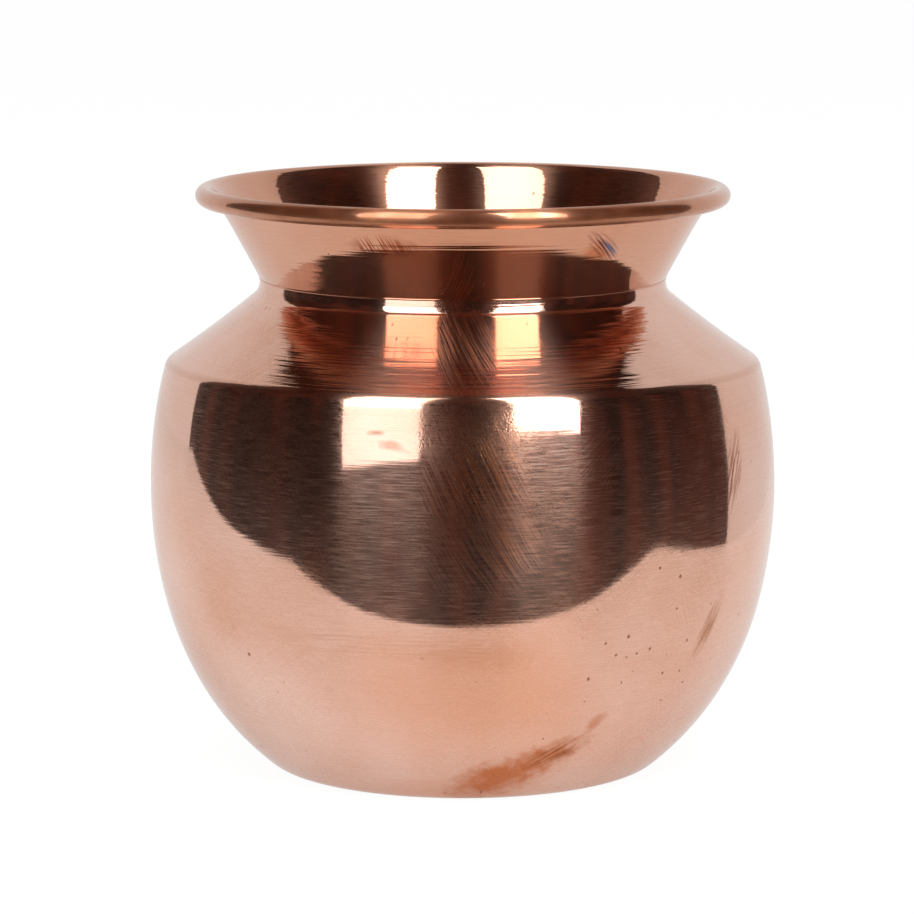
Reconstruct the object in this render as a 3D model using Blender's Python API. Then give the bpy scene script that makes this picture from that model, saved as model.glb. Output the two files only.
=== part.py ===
"""Copper kalash: a spun water pot with a flared, wired mouth.

Metres, +Z up, the base rests on Z = 0 and the pot turns about the Z axis.
"""

import math

import bmesh
import bpy
from mathutils import Vector

# Sheet and joints.
WALL = 0.0007
JOINT_GAP = 0.0003
SEAM_LAP = 0.0050
NECK_LAP = 0.0044

# Base and belly.
BASE_EDGE_RADIUS = 0.0363
BASE_CORNER_RADIUS = 0.0060
BASE_WALL_LEAN = 51.0
BELLY_RADIUS = 0.0600
BELLY_HEIGHT = 0.0540
LOWER_BELLY_PULL = 0.0246
WIDEST_PULL = 0.0132
UPPER_BELLY_ARC = 0.0945

# Shoulder and neck.
SHOULDER_EDGE_HEIGHT = 0.0783
SEAM_DROP = 0.0038
SEAM_HEIGHT = SHOULDER_EDGE_HEIGHT - SEAM_DROP
SHOULDER_EDGE_ROUND = 0.0026
SHOULDER_HOLLOW = 0.0003
NECK_HEIGHT = 0.0939
NECK_RADIUS = 0.03875
COLLAR_HEIGHT = 0.0022
COLLAR_LEAN = 8.0
NECK_BEND_RADIUS = 0.0030

# Mouth and rolled rim.
RIM_RADIUS = 0.0492
RIM_HEIGHT = 0.1100
FLARE_LEAN = 28.0
LIP_LEAN = 44.0
LIP_PULL = 0.0023
WIRE_RADIUS = 0.0009
WIRE_GAP = 0.0002
CURL_TURN = 292.0

# Filler metal on the inside of the two laps.
BRAZE_LEG = 0.0015
BRAZE_REACH = 0.0009

# Fineness of the round shapes.
ROUND_STEPS = 60
ROUND_CORNER_STEPS = 3
BELLY_STEPS = 10
UPPER_BELLY_STEPS = 4
SKIRT_STEPS = 2
FLARE_STEPS = 6
CURL_STEPS = 12
WIRE_SIDES = 8

COPPER = (0.78, 0.42, 0.30)
COPPER_WARM = (0.74, 0.37, 0.24)
COPPER_PALE = (0.80, 0.47, 0.36)
WIRE_COPPER = (0.55, 0.27, 0.17)
BRAZE = (0.72, 0.52, 0.30)
POLISHED = 0.16
DRAWN = 0.35
AS_BRAZED = 0.45


def heading(lean):
    """Upward direction in the section, leaning outwards by so many degrees."""
    angle = math.radians(lean)
    return Vector((math.sin(angle), math.cos(angle)))


def arc(centre, radius, start, end, count):
    """Points of an arc in the section, from one angle to another in degrees."""
    points = []
    for index in range(count + 1):
        angle = math.radians(start + (end - start) * index / count)
        points.append(centre + radius * Vector((math.cos(angle), math.sin(angle))))
    return points


def curve(start, start_pull, end_pull, end, count):
    """Points of a smooth curve that leaves and arrives along two pulls."""
    first = start + start_pull
    second = end - end_pull
    points = []
    for index in range(count + 1):
        t = index / count
        u = 1.0 - t
        point = start * u ** 3 + first * (3 * u * u * t) + second * (3 * u * t * t) + end * t ** 3
        points.append(point)
    return points


def rounded(before, corner, after, radius):
    """Arc that rounds the corner between two stretches of the section."""
    arriving = (corner - before).normalized()
    leaving = (after - corner).normalized()
    turn = arriving.angle_signed(leaving)
    reach = radius * math.tan(abs(turn) / 2.0)
    side = -1.0 if turn > 0.0 else 1.0
    begin = corner - arriving * reach
    centre = begin + radius * side * Vector((-arriving.y, arriving.x))
    first = begin - centre
    start = math.degrees(math.atan2(first.y, first.x))
    return arc(centre, radius, start, start - math.degrees(turn), ROUND_CORNER_STEPS)


def offset(path, distance):
    """The path moved to its left, with mitred corners."""
    moved = []
    for index, point in enumerate(path):
        normals = []
        if index > 0:
            step = (point - path[index - 1]).normalized()
            normals.append(Vector((-step.y, step.x)))
        if index < len(path) - 1:
            step = (path[index + 1] - point).normalized()
            normals.append(Vector((-step.y, step.x)))
        middle = sum(normals, Vector((0.0, 0.0))).normalized()
        moved.append(point + middle * distance / middle.dot(normals[0]))
    return moved


def sheet(path):
    """Closed section of a sheet whose outer face is the path."""
    return path + offset(path, WALL)[::-1]


def metal(name, colour, roughness):
    """Bare metal of one colour."""
    material = bpy.data.materials.new(name)
    material.use_nodes = True
    shader = material.node_tree.nodes["Principled BSDF"]
    shader.inputs["Base Color"].default_value = (*colour, 1.0)
    shader.inputs["Roughness"].default_value = roughness
    shader.inputs["Metallic"].default_value = 1.0
    return material


def turned(name, section, material, pot):
    """Solid of revolution of a closed section about the pot's axis."""
    work = bmesh.new()
    ring = [work.verts.new((point.x, 0.0, point.y)) for point in section]
    edges = []
    for index, vertex in enumerate(ring):
        following = ring[(index + 1) % len(ring)]
        if vertex.co.x > 0.0 or following.co.x > 0.0:
            edges.append(work.edges.new((vertex, following)))
    bmesh.ops.spin(
        work,
        geom=ring + edges,
        cent=(0.0, 0.0, 0.0),
        axis=(0.0, 0.0, 1.0),
        angle=2.0 * math.pi,
        steps=ROUND_STEPS,
        use_merge=True,
    )
    bmesh.ops.remove_doubles(work, verts=work.verts[:], dist=0.000001)
    bmesh.ops.recalc_face_normals(work, faces=work.faces[:])
    mesh = bpy.data.meshes.new(name)
    work.to_mesh(mesh)
    work.free()
    mesh.materials.append(material)
    mesh.shade_smooth()
    mesh.set_sharp_from_angle(angle=math.radians(35.0))
    piece = bpy.data.objects.new(name, mesh)
    bpy.context.collection.objects.link(piece)
    piece.parent = pot
    return piece


def belly_point(height, depth):
    """Point of the upper belly at a height, so deep under its outer face."""
    centre = Vector((BELLY_RADIUS - UPPER_BELLY_ARC, BELLY_HEIGHT))
    angle = math.asin((height - BELLY_HEIGHT) / UPPER_BELLY_ARC)
    return centre + (UPPER_BELLY_ARC - depth) * Vector((math.cos(angle), math.sin(angle)))


def upper_belly(low, high, depth, count):
    return [belly_point(low + (high - low) * index / count, depth) for index in range(count + 1)]


def bowl_section():
    """Flat base and belly, up to the seam."""
    axis_point = Vector((0.0, 0.0))
    base_edge = Vector((BASE_EDGE_RADIUS, 0.0))
    wall_heading = heading(BASE_WALL_LEAN)
    base_corner = rounded(axis_point, base_edge, base_edge + wall_heading, BASE_CORNER_RADIUS)
    widest = Vector((BELLY_RADIUS, BELLY_HEIGHT))
    lower = curve(
        base_corner[-1],
        wall_heading * LOWER_BELLY_PULL,
        heading(0.0) * WIDEST_PULL,
        widest,
        BELLY_STEPS,
    )
    upper = upper_belly(BELLY_HEIGHT, SEAM_HEIGHT, 0.0, UPPER_BELLY_STEPS)
    return sheet([axis_point] + base_corner + lower[1:] + upper[1:])


def shoulder_path():
    """Outer face of the shoulder from the seam's ledge to the top of the neck collar."""
    ledge_height = SEAM_HEIGHT + JOINT_GAP
    below_edge = belly_point(SHOULDER_EDGE_HEIGHT - SHOULDER_EDGE_ROUND, 0.0)
    edge = belly_point(SHOULDER_EDGE_HEIGHT, 0.0)
    collar_top = Vector((NECK_RADIUS, NECK_HEIGHT))
    collar_foot = collar_top - heading(-COLLAR_LEAN) * COLLAR_HEIGHT
    slope = collar_foot - edge
    hollow = Vector((slope.y, -slope.x)).normalized() * -SHOULDER_HOLLOW
    middle = edge + slope * 0.5 + hollow
    edge_round = rounded(below_edge, edge, middle, SHOULDER_EDGE_ROUND)
    neck_bend = rounded(middle, collar_foot, collar_top, NECK_BEND_RADIUS)
    return [belly_point(ledge_height, 0.0)] + edge_round + [middle] + neck_bend + [collar_top]


def shoulder_section():
    """Skirt inside the bowl, a ledge over the bowl's edge, then the shoulder."""
    ledge_height = SEAM_HEIGHT + JOINT_GAP
    skirt = upper_belly(SEAM_HEIGHT - SEAM_LAP, ledge_height, WALL + JOINT_GAP, SKIRT_STEPS)
    return sheet(skirt + shoulder_path())


def curl_centre():
    return Vector((RIM_RADIUS, RIM_HEIGHT))


def mouth_section():
    """Spigot inside the collar, a ledge over its edge, the flare, then the curl round the wire."""
    spigot_radius = NECK_RADIUS - WALL - JOINT_GAP
    ledge_height = NECK_HEIGHT + JOINT_GAP
    spigot_foot = Vector((spigot_radius, NECK_HEIGHT - NECK_LAP))
    spigot_top = Vector((spigot_radius, ledge_height))
    neck = Vector((NECK_RADIUS, ledge_height))
    inner_curl = WIRE_RADIUS + WIRE_GAP
    lip_side = 180.0 - LIP_LEAN
    curl = arc(curl_centre(), inner_curl, lip_side, lip_side - CURL_TURN, CURL_STEPS)
    reach = (curl[0] - neck).length / 3.0
    flare = curve(neck, heading(FLARE_LEAN) * reach, heading(LIP_LEAN) * LIP_PULL, curl[0], FLARE_STEPS)
    return sheet([spigot_foot, spigot_top] + flare + curl[1:])


def wire_section():
    return arc(curl_centre(), WIRE_RADIUS, 0.0, 360.0, WIRE_SIDES)[:-1]


def seam_braze_section():
    """Filler under the skirt's lower edge, against the inside of the bowl."""
    top = SEAM_HEIGHT - SEAM_LAP - JOINT_GAP
    near_wall = WALL + JOINT_GAP
    return [
        belly_point(top, near_wall),
        belly_point(top, near_wall + BRAZE_REACH),
        belly_point(top - BRAZE_LEG, near_wall),
    ]


def neck_braze_section():
    """Filler in the wedge between the spigot and the under side of the shoulder."""
    under = offset(shoulder_path(), WALL + JOINT_GAP)
    slope_start = under[-3 - ROUND_CORNER_STEPS]
    slope_end = under[-2 - ROUND_CORNER_STEPS]
    spigot_side = NECK_RADIUS - WALL
    foot_height = NECK_HEIGHT - NECK_LAP
    fall = (slope_end.y - slope_start.y) / (slope_end.x - slope_start.x)
    foot_reach = slope_end.x + (foot_height - slope_end.y) / fall
    top_height = slope_end.y + (spigot_side - slope_end.x) * fall
    return [
        Vector((spigot_side, foot_height)),
        Vector((foot_reach, foot_height)),
        Vector((spigot_side, top_height)),
    ]


def main():
    for item in list(bpy.data.objects):
        bpy.data.objects.remove(item, do_unlink=True)
    pot = bpy.data.objects.new("kalash", None)
    bpy.context.collection.objects.link(pot)
    turned("lower_bowl", bowl_section(), metal("bowl_copper", COPPER, POLISHED), pot)
    turned("shoulder_shell", shoulder_section(), metal("shoulder_copper", COPPER_WARM, POLISHED), pot)
    turned("mouth_flare", mouth_section(), metal("mouth_copper", COPPER_PALE, POLISHED), pot)
    turned("rim_wire", wire_section(), metal("wire_copper", WIRE_COPPER, DRAWN), pot)
    turned("seam_braze", seam_braze_section(), metal("seam_filler", BRAZE, AS_BRAZED), pot)
    turned("neck_braze", neck_braze_section(), metal("neck_filler", BRAZE, AS_BRAZED), pot)


main()
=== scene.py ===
import math
import bmesh
import bpy
from mathutils import Matrix, Vector, noise
from mathutils.geometry import interpolate_bezier


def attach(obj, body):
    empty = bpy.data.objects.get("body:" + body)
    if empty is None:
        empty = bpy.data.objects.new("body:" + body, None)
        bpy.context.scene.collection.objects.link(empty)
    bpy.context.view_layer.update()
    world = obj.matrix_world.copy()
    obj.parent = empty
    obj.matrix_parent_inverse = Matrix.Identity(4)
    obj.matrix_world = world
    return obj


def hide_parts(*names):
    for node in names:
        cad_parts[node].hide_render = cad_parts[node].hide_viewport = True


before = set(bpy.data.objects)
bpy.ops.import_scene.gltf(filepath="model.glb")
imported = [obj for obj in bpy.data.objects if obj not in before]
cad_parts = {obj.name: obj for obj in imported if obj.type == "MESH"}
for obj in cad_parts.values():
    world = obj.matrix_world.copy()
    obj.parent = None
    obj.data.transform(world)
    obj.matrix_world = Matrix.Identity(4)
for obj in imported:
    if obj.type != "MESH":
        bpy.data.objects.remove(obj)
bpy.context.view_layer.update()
print("frame loaded", sorted(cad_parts))

mm = 0.001


# colour and node helpers

def hexLinear(code):
    parts = [int(code[i:i + 2], 16) / 255 for i in (1, 3, 5)]
    linear = [p / 12.92 if p <= 0.04045 else ((p + 0.055) / 1.055) ** 2.4 for p in parts]
    return (*linear, 1.0)


def addNode(tree, kind, links=None, values=None, **settings):
    node = tree.nodes.new(kind)
    for name, value in settings.items():
        setattr(node, name, value)
    for key, value in (values or {}).items():
        node.inputs[key].default_value = value
    for key, source in (links or {}).items():
        tree.links.new(source, node.inputs[key])
    return node


def newMaterial(name):
    material = bpy.data.materials.new(name)
    material.use_nodes = True
    tree = material.node_tree
    tree.nodes.clear()
    return material, tree


# section helpers, all in millimetres as (radius, height)

def lean(degrees):
    angle = math.radians(degrees)
    return Vector((math.sin(angle), math.cos(angle)))


def bezierRun(start, startPull, endPull, end, count):
    points = interpolate_bezier(start.to_3d(), (start + startPull).to_3d(),
                                (end - endPull).to_3d(), end.to_3d(), count + 1)
    return [p.to_2d() for p in points]


def arcRun(centre, radius, fromDeg, toDeg, count):
    run = []
    for i in range(count + 1):
        angle = math.radians(fromDeg + (toDeg - fromDeg) * i / count)
        run.append(centre + radius * Vector((math.cos(angle), math.sin(angle))))
    return run


def filletRun(before, corner, after, radius, count):
    arriving = (corner - before).normalized()
    leaving = (after - corner).normalized()
    turn = arriving.angle_signed(leaving)                  # clockwise is positive
    begin = corner - arriving * radius * math.tan(abs(turn) / 2)
    side = -1 if turn > 0 else 1
    centre = begin + radius * side * Vector((-arriving.y, arriving.x))
    first = begin - centre
    start = math.degrees(math.atan2(first.y, first.x))
    return arcRun(centre, radius, start, start - math.degrees(turn), count)


def straightRun(start, end, count):
    return [start.lerp(end, i / count) for i in range(count + 1)]


pot = {
    "wall": 0.7, "lapGap": 0.05, "seamStrip": 0.1,
    "baseEdge": 36.3, "baseCorner": 6.0, "baseLean": 51.0,
    "bellyRadius": 60.0, "bellyHeight": 54.0, "lowerPull": 24.6, "widestPull": 13.2,
    "upperArc": 94.5,
    "seam": 74.5, "lap": 5.0,
    "edgeHeight": 78.3, "edgeRound": 2.6, "hollow": 0.5,
    "neckHeight": 93.9, "neckRadius": 38.75, "collar": 2.2, "collarLean": 8.0, "neckBend": 3.0,
    "spigot": 4.4,
    "rimRadius": 49.2, "rimHeight": 110.0, "flareLean": 28.0, "lipLean": 44.0, "lipPull": 2.3,
    "wire": 0.9, "wireGap": 0.2, "curl": 292.0, "neckFold": 0.2, "neckFoldTurn": 62,
    "around": 240, "sharpAngle": 38,
    "outOfTrue": 0.10, "waveLong": 28, "waveShort": 11, "trueFoot": 6,
}


def bellyAt(height, depth=0.0):
    centre = Vector((pot["bellyRadius"] - pot["upperArc"], pot["bellyHeight"]))
    angle = math.asin((height - pot["bellyHeight"]) / pot["upperArc"])
    return centre + (pot["upperArc"] - depth) * Vector((math.cos(angle), math.sin(angle)))


def bowlPath():
    axis = Vector((0.0, 0.0))
    edge = Vector((pot["baseEdge"], 0.0))
    wallWay = lean(pot["baseLean"])
    corner = filletRun(axis, edge, edge + wallWay, pot["baseCorner"], 10)
    flat = straightRun(axis, corner[0], 16)
    widest = Vector((pot["bellyRadius"], pot["bellyHeight"]))
    lower = bezierRun(corner[-1], wallWay * pot["lowerPull"], lean(0) * pot["widestPull"], widest, 48)
    upper = [bellyAt(pot["bellyHeight"] + (pot["seam"] - pot["bellyHeight"]) * i / 24) for i in range(25)]
    upper.insert(-1, bellyAt(pot["seam"] - pot["seamStrip"]))      # a short last strip hides the seam
    return flat[:-1] + corner + lower[1:] + upper[1:]


def shoulderPath():
    skirtDepth = pot["wall"] + pot["lapGap"]
    low = pot["seam"] - pot["lap"]
    skirt = [bellyAt(low + (pot["seam"] - low) * i / 4, skirtDepth) for i in range(5)]
    edge = bellyAt(pot["edgeHeight"])
    top = Vector((pot["neckRadius"], pot["neckHeight"]))
    foot = top - lean(-pot["collarLean"]) * pot["collar"]
    slope = foot - edge
    middle = edge + slope * 0.5 - Vector((slope.y, -slope.x)).normalized() * pot["hollow"]
    edgeRun = filletRun(bellyAt(pot["edgeHeight"] - pot["edgeRound"]), edge, middle, pot["edgeRound"], 12)
    bend = filletRun(middle, foot, top, pot["neckBend"], 10)
    start = edgeRun[0].y
    visible = [bellyAt(pot["seam"]), bellyAt(pot["seam"] + pot["seamStrip"])]
    visible += [bellyAt(pot["seam"] + (start - pot["seam"]) * i / 6) for i in range(1, 6)]
    slopeRun = bezierRun(edgeRun[-1], (middle - edgeRun[-1]) * 0.6, (bend[0] - middle) * 0.6, bend[0], 24)
    return skirt + visible + edgeRun + slopeRun[1:-1] + bend + straightRun(bend[-1], top, 3)[1:]


def mouthPath():
    spigotTop = Vector((pot["neckRadius"] - pot["wall"] - pot["lapGap"], pot["neckHeight"]))
    spigot = straightRun(spigotTop - Vector((0, pot["spigot"])), spigotTop, 4)
    neck = Vector((pot["neckRadius"], pot["neckHeight"]))
    fold = arcRun(neck + Vector((0, pot["neckFold"])), pot["neckFold"], -90, pot["neckFoldTurn"], 8)
    centre = Vector((pot["rimRadius"], pot["rimHeight"]))
    lipSide = 180 - pot["lipLean"]
    curl = arcRun(centre, pot["wire"] + pot["wireGap"], lipSide, lipSide - pot["curl"], 40)
    reach = (curl[0] - fold[-1]).length / 3
    flare = bezierRun(fold[-1], lean(pot["flareLean"]) * reach,
                      lean(pot["lipLean"]) * pot["lipPull"], curl[0], 36)
    return spigot + fold + flare[1:] + curl[1:]


def spinPath(name, path, materials):
    bm = bmesh.new()
    ring = [bm.verts.new((p.x * mm, 0, p.y * mm)) for p in path]
    edges = [bm.edges.new((a, b)) for a, b in zip(ring, ring[1:])]
    bmesh.ops.spin(bm, geom=ring + edges, cent=(0, 0, 0), axis=(0, 0, 1), angle=2 * math.pi,
                   steps=pot["around"], use_merge=True)
    bmesh.ops.remove_doubles(bm, verts=bm.verts[:], dist=1e-6)
    bmesh.ops.recalc_face_normals(bm, faces=bm.faces[:])
    # the path runs upwards with the outside of the pot on its right
    low, high = path[len(path) // 3], path[len(path) // 3 + 1]
    spot = Vector(((low.x + high.x) / 2 * mm, 0, (low.y + high.y) / 2 * mm))
    probe = min(bm.faces, key=lambda f: (f.calc_center_median() - spot).length)
    if probe.normal.dot(Vector((high.y - low.y, 0, low.x - high.x))) < 0:
        bmesh.ops.reverse_faces(bm, faces=bm.faces[:])
    # hand-held spinning leaves the wall very slightly out of true
    for vert in bm.verts:
        out = Vector((vert.co.x, vert.co.y, 0))
        if out.length > 1 * mm:
            push = noise.noise(vert.co / (pot["waveLong"] * mm))
            push += 0.5 * noise.noise(vert.co / (pot["waveShort"] * mm))
            push *= pot["outOfTrue"] * min(1, vert.co.z / (pot["trueFoot"] * mm))
            vert.co += out.normalized() * push * mm
    for face in bm.faces:
        face.smooth = True
    for edge in bm.edges:
        edge.smooth = not edge.is_boundary and edge.calc_face_angle(0) < math.radians(pot["sharpAngle"])
    mesh = bpy.data.meshes.new(name)
    bm.to_mesh(mesh)
    bm.free()
    for material in materials:
        mesh.materials.append(material)
    piece = bpy.data.objects.new(name, mesh)
    bpy.context.scene.collection.objects.link(piece)
    shell = piece.modifiers.new("wall", "SOLIDIFY")
    shell.thickness = pot["wall"] * mm
    shell.offset = -1
    shell.use_even_offset = True
    shell.material_offset = 1
    return piece


# spun copper, buffed bright: rings from the spinning tool jog every reflected edge, hair lines round the
# pot drag the lights up and down, slanted scratches come from the buff, tarnish shows as warm smears, and a
# few smears and strokes are painted reflections; real hair lines and scratches are finer, and are drawn this
# coarse so that they show
bowlLook = {
    "bright": "#E5BAA8", "warm": "#E0AE97", "tarnish": "#C27B52", "pit": "#8A5238", "grain": "#B5764C",
    "rim": "#B27A5C", "film": "#8E4A28",
    "ringWave": 3.2, "waveDeep": 0.004, "ringLine": 0.45, "lineDeep": 0.006, "lineTint": 0.10,
    "hairFine": 0.26, "hairLeast": 0.08, "hairMost": 0.27,
    "roughness": 0.025, "hairRoughness": 0.32, "stretch": 1.0,
    "buffLong": 16.0, "buffFine": 0.14, "scuffFine": 0.28, "buffDeep": 0.005, "buffShow": 0.2,
    "grainDeep": 0.018,
}
# the shoulder and mouth were turned with the tool in short passes, so their rings are deeper
shoulderLook = dict(bowlLook, ringWave=0.8, waveDeep=0.045, ringLine=0.35, lineDeep=0.006,
                    hairLeast=0.10, hairMost=0.17)
mouthLook = dict(bowlLook, bright="#D5A289", warm="#CE957A", ringWave=0.8, waveDeep=0.012, ringLine=0.35,
                 lineDeep=0.003, hairLeast=0.08, hairMost=0.16, buffShow=0.05)
throatLook = dict(mouthLook, waveDeep=0.024, hairLeast=0.25, hairMost=0.36)
# the inside is left as spun: duller, browner, with open tool rings
insideLook = dict(bowlLook, bright="#CE8E72", warm="#B97454", tarnish="#8E4E30", ringWave=4.0, waveDeep=0.012,
                  ringLine=0.8, lineDeep=0.008, roughness=0.2)
# sizes (mm) and shares that every sheet has in common
wear = {
    "wrap": 60, "ringDrift": 0.012, "wornPatch": 22, "raggedEdge": 2.5, "bendPatch": 30, "bendBy": 4,
    "buffSlants": (-58, 34, -25), "buffLow": 0.57, "scuffLow": 0.5, "hatchLow": 0.44, "hatchLong": 9,
    "hairLong": 20, "scratchHair": 0.55, "grainSize": 0.34,
    "creaseOuter": 0.8, "creaseInner": 0.3, "creaseShare": 0.2,
    "rimWide": 1.2, "rimFrom": 15, "rimFull": 45, "rimPatch": 5, "rimShare": 0.65,
    "filmShare": 0.3, "filmRoughness": 0.45,
    "pitApart": 2.6, "pitLeast": 0.05, "pitMost": 0.2, "pitShare": 0.85, "pitHair": 0.3,
}


# marks are given on the unrolled outside: distance round from the front, height, half length, half width
# (mm), slant (degrees), strength and how ragged the edge is; a smear adds its colour (most are stains, a few
# are painted reflections), a scuff the slant of its scratches, and a hatch the slant, width (mm) and colour of
# its strokes
def spunCopper(name, look, smearsAndPaintedReflections=(), scuffs=(), hatches=(), grains=(), pits=(), crease=None, brownRim=None):
    material, tree = newMaterial(name)
    place = addNode(tree, "ShaderNodeTexCoord").outputs["Object"]
    x, y, z = addNode(tree, "ShaderNodeSeparateXYZ", {0: place}).outputs
    flat = addNode(tree, "ShaderNodeCombineXYZ", {0: x, 1: y}).outputs[0]
    radius = addNode(tree, "ShaderNodeVectorMath", {0: flat}, operation="LENGTH").outputs["Value"]
    front = addNode(tree, "ShaderNodeMath", {0: y}, {1: -1.0}, operation="MULTIPLY").outputs[0]
    turn = addNode(tree, "ShaderNodeMath", {0: x, 1: front}, operation="ARCTAN2").outputs[0]
    along = addNode(tree, "ShaderNodeMath", {0: turn}, {1: wear["wrap"] * mm}, operation="MULTIPLY").outputs[0]
    drift = addNode(tree, "ShaderNodeMath", {0: x}, {1: wear["ringDrift"]}, operation="MULTIPLY").outputs[0]
    ringPlace = addNode(tree, "ShaderNodeCombineXYZ", {0: radius, 1: z, 2: drift}).outputs[0]
    wrapPlace = addNode(tree, "ShaderNodeCombineXYZ", {0: along, 1: z}).outputs[0]

    def cloud(vector, size, detail=2.0, **settings):
        return addNode(tree, "ShaderNodeTexNoise", {"Vector": vector},
                       {"Scale": 1 / (size * mm), "Detail": detail}, **settings).outputs[0]

    def band(value, low, high, top=1.0):
        return addNode(tree, "ShaderNodeMapRange", {0: value}, {1: low, 2: high, 4: top}).outputs[0]

    def join(kind, a, b):
        return addNode(tree, "ShaderNodeMath", {0: a, 1: b}, operation=kind).outputs[0]

    def tint(colour, share, code):
        return addNode(tree, "ShaderNodeMix", {0: share, 6: colour}, {7: hexLinear(code)},
                       data_type="RGBA").outputs[2]

    def turned(vector, spot, slant, size):
        return addNode(tree, "ShaderNodeMapping", {"Vector": vector},
                       {"Location": (spot[0] * mm, spot[1] * mm, 0), "Rotation": (0, 0, math.radians(slant)),
                        "Scale": (size[0] * mm, size[1] * mm, 1)}, vector_type="TEXTURE").outputs[0]

    def markAt(across, high, long, short, slant, strength, ragged):
        local = turned(wrapPlace, (across, high), slant, (long, short))
        away = addNode(tree, "ShaderNodeVectorMath", {0: local}, operation="LENGTH").outputs["Value"]
        edge = addNode(tree, "ShaderNodeMath", {0: cloud(place, wear["raggedEdge"], 4.0), 2: away},
                       {1: ragged}, operation="MULTIPLY_ADD").outputs[0]
        return band(edge, 1.0 + ragged / 2, 0.3 + ragged / 2, strength)

    def strokes(slant, long, fine, low):
        noisy = addNode(tree, "ShaderNodeTexNoise", {"Vector": turned(bent, (0, 0), slant, (long, fine))},
                        {"Scale": 1.0, "Detail": 1.0}, noise_dimensions="2D").outputs[0]
        return band(noisy, low, low + 0.1)

    # rings: a slow wave left by the roller and the fine lines of the finishing tool
    wave = cloud(ringPlace, look["ringWave"])
    line = cloud(ringPlace, look["ringLine"], 3.0)
    worn = band(cloud(place, wear["wornPatch"]), 0.3, 0.7)

    # buffing scratches, gently bent, in three slants
    bend = addNode(tree, "ShaderNodeTexNoise", {"Vector": place},
                   {"Scale": 1 / (wear["bendPatch"] * mm)}).outputs["Color"]
    bent = addNode(tree, "ShaderNodeVectorMath", {0: bend, 2: wrapPlace},
                   {1: (wear["bendBy"] * mm, wear["bendBy"] * mm, 0)}, operation="MULTIPLY_ADD").outputs[0]
    scratch = None
    for slant in wear["buffSlants"]:
        stroke = strokes(slant, look["buffLong"], look["buffFine"], wear["buffLow"])
        scratch = join("MAXIMUM", scratch, stroke) if scratch else stroke
    scratch = join("MULTIPLY", scratch, band(worn, 0, 1, look["buffShow"]))
    for *mark, slant in scuffs:
        stroke = strokes(slant, look["buffLong"], look["scuffFine"], wear["scuffLow"])
        scratch = join("MAXIMUM", scratch, join("MULTIPLY", stroke, markAt(*mark)))

    # hair lines: the share of the surface that drags the light
    hairStretch = addNode(tree, "ShaderNodeVectorMath", {0: wrapPlace}, {1: (1 / wear["hairLong"], 1, 1)},
                          operation="MULTIPLY").outputs[0]
    streak = cloud(hairStretch, look["hairFine"], 3.0, noise_dimensions="2D")
    hair = addNode(tree, "ShaderNodeMapRange", {0: streak},
                   {1: 0.3, 2: 0.7, 3: look["hairLeast"], 4: look["hairMost"]}).outputs[0]
    hair = addNode(tree, "ShaderNodeMath", {0: scratch, 2: hair}, {1: wear["scratchHair"]},
                   operation="MULTIPLY_ADD").outputs[0]

    colour = addNode(tree, "ShaderNodeMix", {0: worn},
                     {6: hexLinear(look["bright"]), 7: hexLinear(look["warm"])}, data_type="RGBA").outputs[2]
    colour = tint(colour, band(line, 0.5, 0.75, look["lineTint"]), look["tarnish"])
    colour = tint(colour, scratch, look["tarnish"])
    for *mark, code in smearsAndPaintedReflections:
        colour = tint(colour, markAt(*mark), code)
    for *mark, slant, fine, code in hatches:
        stroke = strokes(slant, wear["hatchLong"], fine, wear["hatchLow"])
        colour = tint(colour, join("MULTIPLY", markAt(*mark), stroke), code)
    # grain: a sandy patch the buff did not reach
    heights = [(wave, look["waveDeep"]), (line, look["lineDeep"]), (scratch, look["buffDeep"])]
    for mark in grains:
        grain = join("MULTIPLY", band(cloud(place, wear["grainSize"], 1.0), 0.3, 0.7), markAt(*mark))
        heights.append((grain, look["grainDeep"]))
        hair = join("ADD", hair, grain)
        colour = tint(colour, grain, look["grain"])
    # the crease and the rim catch dirt, so they are duller and browner
    if crease:
        off = addNode(tree, "ShaderNodeMath", {0: z}, {1: crease * mm}, operation="SUBTRACT").outputs[0]
        off = addNode(tree, "ShaderNodeMath", {0: off}, operation="ABSOLUTE").outputs[0]
        reached = band(off, wear["creaseOuter"] * mm, wear["creaseInner"] * mm, wear["creaseShare"])
        hair = join("ADD", hair, reached)
        colour = tint(colour, reached, look["grain"])
    if brownRim:
        reached = band(radius, (brownRim - wear["rimWide"]) * mm, brownRim * mm)
        reached = join("MULTIPLY", reached, band(front, wear["rimFrom"] * mm, wear["rimFull"] * mm))
        patch = cloud(place, wear["rimPatch"], 3.0)
        reached = join("MULTIPLY", reached, band(patch, 0.1, 0.7, wear["rimShare"]))
        hair = join("ADD", hair, reached)
        colour = tint(colour, band(reached, 0, 0.4), look["rim"])

    # pits: brown specks under half a millimetre, gathered where the copper was left damp
    cells = addNode(tree, "ShaderNodeTexVoronoi", {"Vector": wrapPlace}, {"Scale": 1 / (wear["pitApart"] * mm)},
                    voronoi_dimensions="2D")
    chosen, bigger, _ = addNode(tree, "ShaderNodeSeparateColor", {0: cells.outputs["Color"]}).outputs
    bigger = addNode(tree, "ShaderNodeMapRange", {0: bigger},
                     {3: wear["pitLeast"], 4: wear["pitMost"]}).outputs[0]
    speck = band(join("DIVIDE", cells.outputs["Distance"], bigger), 1.0, 0.4, wear["pitShare"])
    for mark in pits:
        chosen = join("ADD", chosen, markAt(*mark))
    pit = join("MULTIPLY", speck, band(chosen, 0.97, 0.99))
    colour = tint(colour, pit, look["pit"])

    hair = addNode(tree, "ShaderNodeMath", {0: pit, 2: hair}, {1: wear["pitHair"]},
                   operation="MULTIPLY_ADD", use_clamp=True).outputs[0]

    normal = None
    for height, deep in heights:
        links = {"Height": height}
        if normal:
            links["Normal"] = normal
        normal = addNode(tree, "ShaderNodeBump", links, {"Distance": deep * mm, "Strength": 1.0}).outputs[0]

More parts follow.
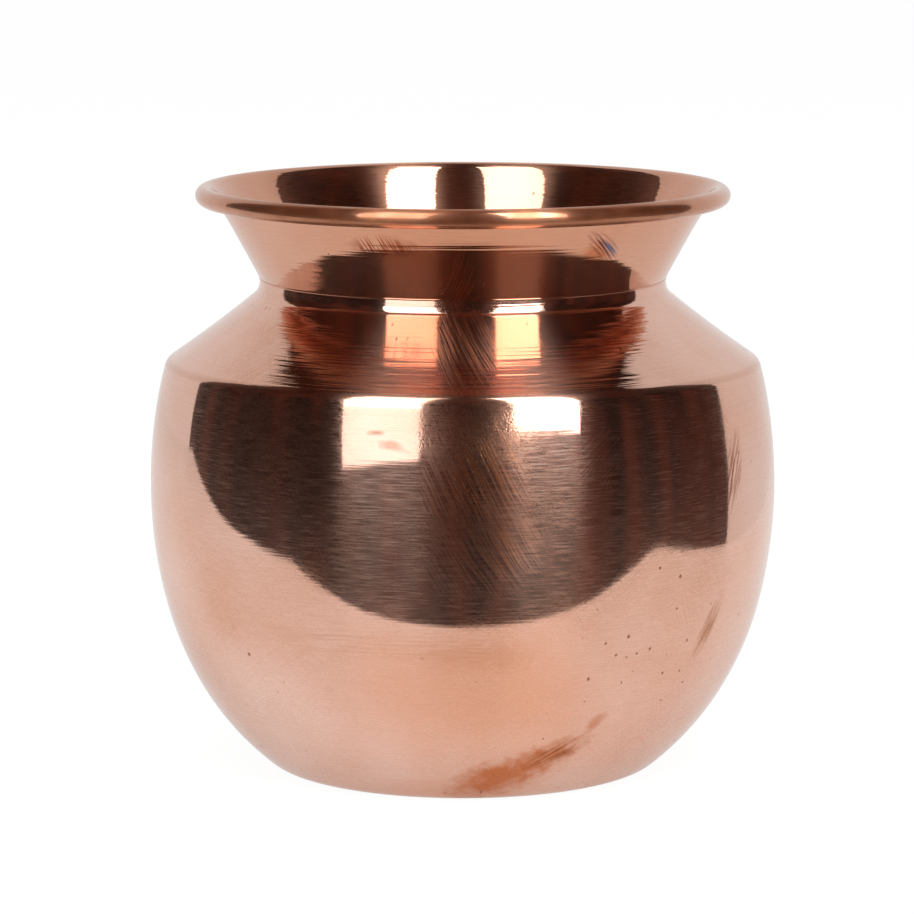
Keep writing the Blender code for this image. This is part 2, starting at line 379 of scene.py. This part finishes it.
    around = addNode(tree, "ShaderNodeTangent", direction_type="RADIAL", axis="Z").outputs[0]
    coats = []
    for key in ("roughness", "hairRoughness"):
        coats.append(addNode(tree, "ShaderNodeBsdfPrincipled",
                             {"Base Color": colour, "Normal": normal, "Tangent": around},
                             {"Metallic": 1.0, "Roughness": look[key], "Anisotropic": look["stretch"],
                              "Anisotropic Rotation": 0.25}).outputs[0])
    both = addNode(tree, "ShaderNodeMixShader", {0: hair, 1: coats[0], 2: coats[1]}).outputs[0]
    if brownRim:                                           # a dull brown film on the handled rim
        film = addNode(tree, "ShaderNodeBsdfPrincipled", {"Normal": normal},
                       {"Base Color": hexLinear(look["film"]), "Roughness": wear["filmRoughness"]}).outputs[0]
        share = band(reached, 0, wear["rimShare"], wear["filmShare"])
        both = addNode(tree, "ShaderNodeMixShader", {0: share, 1: both, 2: film}).outputs[0]
    addNode(tree, "ShaderNodeOutputMaterial", {"Surface": both})
    return material


bowlCopper = spunCopper("spunCopperBowl", bowlLook, smearsAndPaintedReflections=[
    # painted reflection: warmer low on the front, where the copper mirrors the table lit warm by the pot itself
    (4, 25, 32, 17, 0, 0.75, 0.4, "#DFA283"),
    # painted reflection: a paler patch low on the left, lighter than clean copper, standing in for brighter
    # surroundings mirrored there
    (-44, 18, 20, 18, 0, 0.5, 0.3, "#F0D0C4"),
    (-2, 2, 30, 4, 0, 0.6, 0.5, "#D9A084"),
    (12, 5, 18, 7, 15, 0.35, 0.4, "#CB8A66"),
    (9, 5.4, 16, 5, 15, 0.85, 1.2, "#BE6430"),
    (21, 10, 11, 3.6, 20, 0.7, 1.2, "#B96432"),
    (30, 16.7, 3, 1.8, 40, 0.5, 0.9, "#B56030"),
    (2, 31, 14, 4, 0, 0.3, 0.9, "#C88560"),
    (55, 32.4, 7, 2.4, 65, 0.4, 0.7, "#B4774F"),
    (-16.2, 72.2, 2.2, 0.7, 0, 0.7, 1.2, "#7E523C"),
    (-13.5, 70, 3.5, 1.2, -10, 0.5, 1.8, "#8A5A40"),
], scuffs=[
    (2, 63, 11, 16, 0, 1.0, 0.5, -60),
    (4, 51, 13, 11, 0, 0.7, 0.5, -57),
    (26, 67, 8, 7, 0, 0.3, 0.5, 40),
    (-16, 33, 32, 4, 0, 0.3, 0.5, 0),
], hatches=[
    (55, 32.4, 7, 2.4, 65, 0.8, 0.6, 65, 0.5, "#A8653F"),
    (60, 61, 9, 3, 75, 1.0, 0.6, 66, 0.7, "#96563A"),
    (22, 10.5, 8, 2.6, 20, 0.8, 0.9, 32, 0.5, "#96522E"),
], grains=[
    (2, 72, 13, 9, 0, 0.5, 0.4),
], pits=[
    (36, 33, 24, 16, 0, 0.25, 0.5),
    (23, 11.5, 7, 3, 20, 0.35, 0.5),
], crease=pot["edgeHeight"])
shoulderCopper = spunCopper("spunCopperShoulder", shoulderLook, scuffs=[
    (0, 86, 9, 9, 0, 0.9, 0.5, -55),
], pits=[
    (-17, 88, 5, 5, 0, 0.5, 0.5),
    (-79, 90, 6, 4, 0, 0.4, 0.5),
], crease=pot["edgeHeight"])
mouthCopper = spunCopper("spunCopperMouth", mouthLook, smearsAndPaintedReflections=[
    (0, 104, 42, 10, 0, 0.9, 0.3, "#CD9072"),
    # painted reflection: a person standing off to the right, mirrored in the flare as a reddish-brown patch
    (36.5, 102.4, 6, 3, 0, 0.7, 0.9, "#B4602F"),
], hatches=[
    (-20, 104.2, 10, 2.4, 0, 1.0, 0.5, -58, 0.4, "#8A3A18"),
    # painted reflection: the dark and the blue strokes of the same mirrored person
    (37.5, 103.6, 6.5, 2.2, -26, 0.9, 0.5, -28, 0.45, "#5E3026"),
    (40, 103.4, 4, 1.5, -26, 0.75, 0.5, -28, 0.35, "#3F5C7C"),
], brownRim=pot["rimRadius"] - 1)
throatCopper = spunCopper("spunCopperThroat", throatLook, brownRim=pot["rimRadius"] - 1)
innerCopper = spunCopper("spunCopperInside", insideLook)
print("copper ready")


# the three spun shells
def addShell(name, path, coats, node):
    piece = spinPath(name, path, coats)
    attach(piece, "root")
    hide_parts(node)
    return piece


addShell("bowlShell", bowlPath(), [bowlCopper, innerCopper], "lower_bowl")
shoulder = addShell("shoulderShell", shoulderPath(), [shoulderCopper, innerCopper, bowlCopper, innerCopper],
                    "shoulder_shell")
for face in shoulder.data.polygons:                        # one finish runs on up to the crease
    if face.center.z < (pot["edgeHeight"] - 0.6) * mm:
        face.material_index = 2
addShell("mouthShell", mouthPath(), [mouthCopper, throatCopper], "mouth_flare")
print("shells spun")


# filler metal: yellow brass that ran into the lap and set with a wavy edge
fillerLook = {"bright": "#C79A5E", "dull": "#8F6A40", "lump": 2.5, "lumpDeep": 0.2, "smoothest": 0.26,
              "roughBy": 0.25}


def brassFiller(name, look):
    material, tree = newMaterial(name)
    place = addNode(tree, "ShaderNodeTexCoord").outputs["Object"]
    lumps = addNode(tree, "ShaderNodeTexNoise", {"Vector": place},
                    {"Scale": 1 / (look["lump"] * mm), "Detail": 4.0}).outputs[0]
    tone = addNode(tree, "ShaderNodeMix", {0: lumps},
                   {6: hexLinear(look["bright"]), 7: hexLinear(look["dull"])}, data_type="RGBA").outputs[2]
    rough = addNode(tree, "ShaderNodeMath", {0: lumps}, {1: look["roughBy"], 2: look["smoothest"]},
                    operation="MULTIPLY_ADD").outputs[0]
    bump = addNode(tree, "ShaderNodeBump", {"Height": lumps},
                   {"Distance": look["lumpDeep"] * mm, "Strength": 1.0}).outputs[0]
    shader = addNode(tree, "ShaderNodeBsdfPrincipled",
                     {"Base Color": tone, "Roughness": rough, "Normal": bump}, {"Metallic": 1.0})
    addNode(tree, "ShaderNodeOutputMaterial", {"Surface": shader.outputs[0]})
    return material


filler = brassFiller("brassFillerAsRun", fillerLook)
for node in ("seam_braze", "neck_braze", "rim_wire"):
    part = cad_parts[node]
    part.data.materials.clear()
    part.data.materials.append(filler)
print("filler ready")


# white table top in a dark room: what the copper shows in its front
stageSet = {
    "table": [(-178, -117), (205, -109), (230, -98), (238, 900), (-1760, 900)],
    "white": "#F4F3F1", "ownLight": 0.92, "mirrored": 0.68, "mirrorLevel": 0.80, "viewLevel": 1.03,
    "floorHalf": 15000, "floorDrop": 0.05,
    "room": "#221512", "roomLit": "#5C352A", "fold": 454.5, "foldUpright": 0.08,
    "roomSize": 2500.0, "backdropTurn": -3.75, "backdropHalf": 63.75,
}


# matt white card: seen and mirrored as even white, and lit by the lamps for the rest, so it keeps a shadow
def whiteTop(name):
    material, tree = newMaterial(name)
    ray = addNode(tree, "ShaderNodeLightPath").outputs
    toCamera = addNode(tree, "ShaderNodeMath", {0: ray["Is Camera Ray"]}, {1: stageSet["ownLight"]},
                       operation="MULTIPLY").outputs[0]
    share = addNode(tree, "ShaderNodeMath", {0: ray["Is Glossy Ray"], 2: toCamera}, {1: stageSet["mirrored"]},
                    operation="MULTIPLY_ADD").outputs[0]
    level = addNode(tree, "ShaderNodeMapRange", {0: ray["Is Camera Ray"]},
                    {3: stageSet["mirrorLevel"], 4: stageSet["viewLevel"]}).outputs[0]
    paint = addNode(tree, "ShaderNodeBsdfDiffuse", None, {"Color": hexLinear(stageSet["white"])}).outputs[0]
    glow = addNode(tree, "ShaderNodeEmission", {"Strength": level}, {"Color": (1, 1, 1, 1)}).outputs[0]
    both = addNode(tree, "ShaderNodeMixShader", {0: share, 1: paint, 2: glow}).outputs[0]
    addNode(tree, "ShaderNodeOutputMaterial", {"Surface": both})
    return material


def addStage(name, bm, material, rays):
    mesh = bpy.data.meshes.new(name)
    bm.to_mesh(mesh)
    bm.free()
    mesh.materials.append(material)
    thing = bpy.data.objects.new(name, mesh)
    bpy.context.scene.collection.objects.link(thing)
    thing.visible_camera = "camera" in rays
    thing.visible_glossy = "glossy" in rays
    thing.visible_diffuse = "diffuse" in rays
    thing.visible_shadow = "shadow" in rays
    return thing


def flatTop(corners, height):
    bm = bmesh.new()
    rim = [bm.verts.new((x * mm, y * mm, height * mm)) for x, y in corners]
    bmesh.ops.contextual_create(bm, geom=rim)
    return bm


white = whiteTop("whiteCard")
addStage("tableTop", flatTop(stageSet["table"], 0.0), white, ("camera", "glossy", "diffuse"))
half = stageSet["floorHalf"]
addStage("floor", flatTop([(-half, -half), (half, -half), (half, half), (-half, half)], -stageSet["floorDrop"]),
         white, ("camera", "diffuse"))

# dark cloth hung round the room, seen only in the copper: a faint glow with painted light on its upright folds,
# so the copper shows faint upright bands
room, tree = newMaterial("darkRoomCloth")
place = addNode(tree, "ShaderNodeTexCoord").outputs["Object"]
upright = addNode(tree, "ShaderNodeVectorMath", {0: place}, {1: (1, 1, stageSet["foldUpright"])},
                  operation="MULTIPLY").outputs[0]
folds = addNode(tree, "ShaderNodeTexNoise", {"Vector": upright},
                {"Scale": 1 / (stageSet["fold"] * mm), "Detail": 4.0}).outputs[0]
share = addNode(tree, "ShaderNodeMapRange", {0: folds}, {1: 0.42, 2: 0.75}).outputs[0]
cloth = addNode(tree, "ShaderNodeMix", {0: share},
                {6: hexLinear(stageSet["room"]), 7: hexLinear(stageSet["roomLit"])},
                data_type="RGBA").outputs[2]
glow = addNode(tree, "ShaderNodeEmission", {"Color": cloth}, {"Strength": 1.0}).outputs[0]
addNode(tree, "ShaderNodeOutputMaterial", {"Surface": glow})
dome = bmesh.new()
bmesh.ops.create_uvsphere(dome, u_segments=48, v_segments=24, radius=stageSet["roomSize"] * mm)
lookBack = math.radians(stageSet["backdropTurn"])
back = Vector((-math.sin(lookBack), math.cos(lookBack), 0))
cut = back * stageSet["roomSize"] * mm * math.cos(math.radians(stageSet["backdropHalf"]))
bmesh.ops.bisect_plane(dome, geom=dome.verts[:] + dome.edges[:] + dome.faces[:], plane_co=cut,
                       plane_no=back, clear_outer=True)
addStage("darkRoom", dome, room, ("glossy",))
print("stage ready")


# tall upright softboxes either side of the camera; the left one is dimmer towards its foot
softboxes = {
    "leftFoot": {"azimuth": -29.0, "away": 1000, "wide": 489, "low": 166, "from": 0, "tall": 229, "tilt": 20,
                 "roll": 5, "power": 0.72},
    "left": {"azimuth": -29.0, "away": 1000, "wide": 489, "low": 166, "from": 229, "tall": 1421, "tilt": 20,
             "roll": 5, "power": 10.0},
    "right": {"azimuth": 31.0, "away": 1000, "wide": 425, "low": 310, "from": 0, "tall": 1550, "tilt": 20,
              "roll": -5, "power": 15.2},
}
for name, box in softboxes.items():
    lamp = bpy.data.lights.new(name + "Softbox", "AREA")
    lamp.shape = "RECTANGLE"
    lamp.size = box["wide"] * mm
    lamp.size_y = box["tall"] * mm
    lamp.energy = box["power"]
    holder = bpy.data.objects.new(name + "Softbox", lamp)
    bpy.context.scene.collection.objects.link(holder)
    az = math.radians(box["azimuth"])
    foot = Vector((math.sin(az), -math.cos(az), 0)) * box["away"] * mm + Vector((0, 0, box["low"] * mm))
    stand = Matrix.Rotation(az, 3, "Z") @ Matrix.Rotation(math.radians(90 - box["tilt"]), 3, "X")
    stand = stand @ Matrix.Rotation(math.radians(box["roll"]), 3, "Z")
    middle = foot + stand @ Vector((0, (box["from"] + box["tall"] / 2) * mm, 0))
    holder.matrix_world = Matrix.Translation(middle) @ stand.to_4x4()
    holder.visible_camera = False

worldSet = {"level": 0.52, "seenMore": 0.3}
world = bpy.data.worlds.new("whiteSurround")
bpy.context.scene.world = world
world.use_nodes = True
tree = world.node_tree
tree.nodes.clear()
ray = addNode(tree, "ShaderNodeLightPath")
seen = addNode(tree, "ShaderNodeMath", {0: ray.outputs["Is Camera Ray"], 1: ray.outputs["Is Glossy Ray"]},
               operation="MAXIMUM").outputs[0]
level = addNode(tree, "ShaderNodeMath", {0: seen}, {1: worldSet["seenMore"], 2: worldSet["level"]},
                operation="MULTIPLY_ADD").outputs[0]
sky = addNode(tree, "ShaderNodeBackground", {"Strength": level}, {"Color": (1, 1, 1, 1)}).outputs[0]
addNode(tree, "ShaderNodeOutputWorld", {"Surface": sky})
print("lights ready")


cameraSet = {"away": 850.0, "high": 189.9, "down": 8.744, "aside": -1.1, "lens": 175.9}
lens = bpy.data.cameras.new("camera")
lens.lens = cameraSet["lens"]
lens.sensor_width = 36
lens.clip_end = 100
camera = bpy.data.objects.new("camera", lens)
bpy.context.scene.collection.objects.link(camera)
camera.location = (cameraSet["aside"] * mm, -cameraSet["away"] * mm, cameraSet["high"] * mm)
camera.rotation_euler = (math.radians(90 - cameraSet["down"]), 0, 0)
bpy.context.scene.camera = camera
bpy.context.scene.view_settings.view_transform = "Standard"
